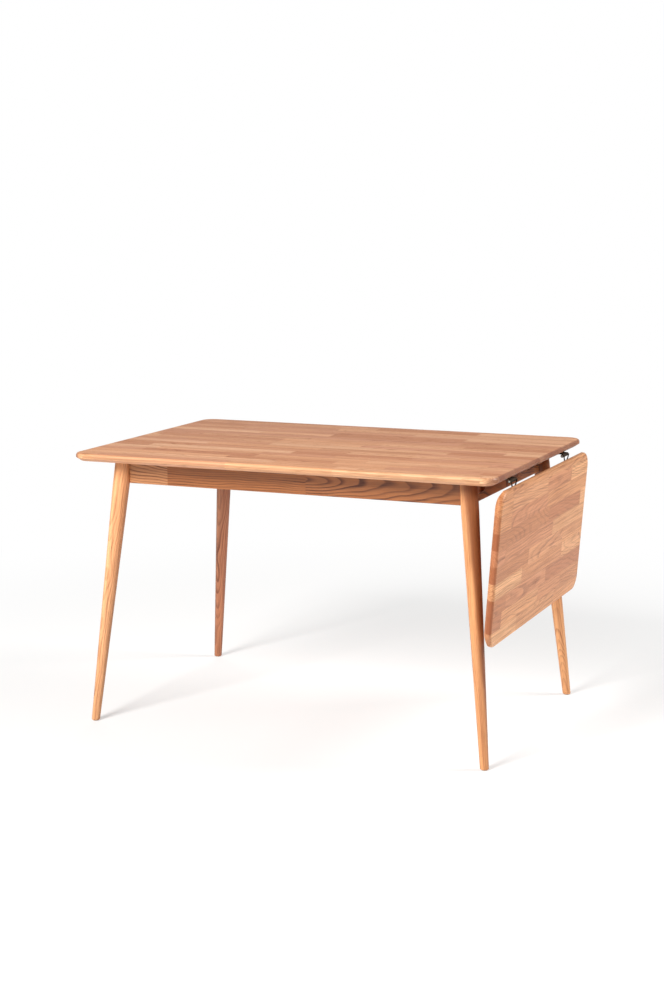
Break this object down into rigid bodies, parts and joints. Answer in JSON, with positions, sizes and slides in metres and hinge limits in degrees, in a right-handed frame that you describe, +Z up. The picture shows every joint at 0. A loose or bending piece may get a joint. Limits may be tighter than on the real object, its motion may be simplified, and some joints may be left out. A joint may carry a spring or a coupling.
{
  "type": "drop-leaf dining table",
  "caption": "Oak dining table with splayed round tapered legs, staved top and one drop leaf hinged at the end over pull-out support bars.",
  "frame": {"origin": "on the floor under the middle of the whole table's box with the leaf hanging", "axes": "+Z up, +X along the length towards the drop leaf, -Y the long front side"},
  "size_m": [1.2213, 0.8, 0.75],
  "materials": {
    "oak_top": "oiled oak staves, satin",
    "oak_leaf": "oiled oak staves, satin",
    "oak_legs": "oiled solid oak, satin",
    "oak_rails": "oiled solid oak, satin",
    "oak_inner": "plain oak, unfinished inside",
    "beech_dowel": "plain beech dowel",
    "hinge_steel": "plated steel plate",
    "pin_steel": "plain steel",
    "zinc_steel": "zinc-plated steel",
    "glide_plastic": "matt plastic"
  },
  "bodies": {
    "frame": {"bar_guide_back": "oak_inner", "bar_guide_front": "oak_inner", "brace_nuts": "zinc_steel", "brace_screws": "zinc_steel", "brace_washers": "zinc_steel", "bracket_screws": "zinc_steel", "corner_brace_back_left": "oak_inner", "corner_brace_back_right": "oak_inner", "corner_brace_front_left": "oak_inner", "corner_brace_front_right": "oak_inner", "cross_rail": "oak_inner", "cross_rail_dowels": "beech_dowel", "end_rail_left": "oak_rails", "end_rail_right": "oak_rails", "foot_glide_back_left": "glide_plastic", "foot_glide_back_right": "glide_plastic", "foot_glide_front_left": "glide_plastic", "foot_glide_front_right": "glide_plastic", "guide_screws": "zinc_steel", "hanger_bolts": "zinc_steel", "hinge_pin_back": "pin_steel", "hinge_pin_front": "pin_steel", "hinge_screws_top": "zinc_steel", "hinge_top_plate_back": "hinge_steel", "hinge_top_plate_front": "hinge_steel", "leg_back_left": "oak_legs", "leg_back_right": "oak_legs", "leg_front_left": "oak_legs", "leg_front_right": "oak_legs", "side_rail_back": "oak_rails", "side_rail_front": "oak_rails", "tabletop": "oak_top", "top_brackets": "zinc_steel"},
    "leaf": {"leaf_board": "oak_leaf", "hinge_leaf_plate_front": "hinge_steel", "hinge_leaf_plate_back": "hinge_steel", "hinge_screws_leaf": "zinc_steel"},
    "bar_front": {"support_bar_front": "oak_inner", "bar_stop_front": "beech_dowel"},
    "bar_back": {"support_bar_back": "oak_inner", "bar_stop_back": "beech_dowel"}
  },
  "joints": [
    {"name": "leaf_fold", "type": "hinge", "parent": "frame", "child": "leaf", "pos_m": [0.58383, 0, 0.722], "axis": [0, -1, 0], "range_deg": [-1, 94.5]},
    {"name": "bar_front_slide", "type": "slide", "parent": "frame", "child": "bar_front", "axis": [1, 0, 0], "range_m": [0, 0.07]},
    {"name": "bar_back_slide", "type": "slide", "parent": "frame", "child": "bar_back", "axis": [1, 0, 0], "range_m": [0, 0.07]}
  ]
}
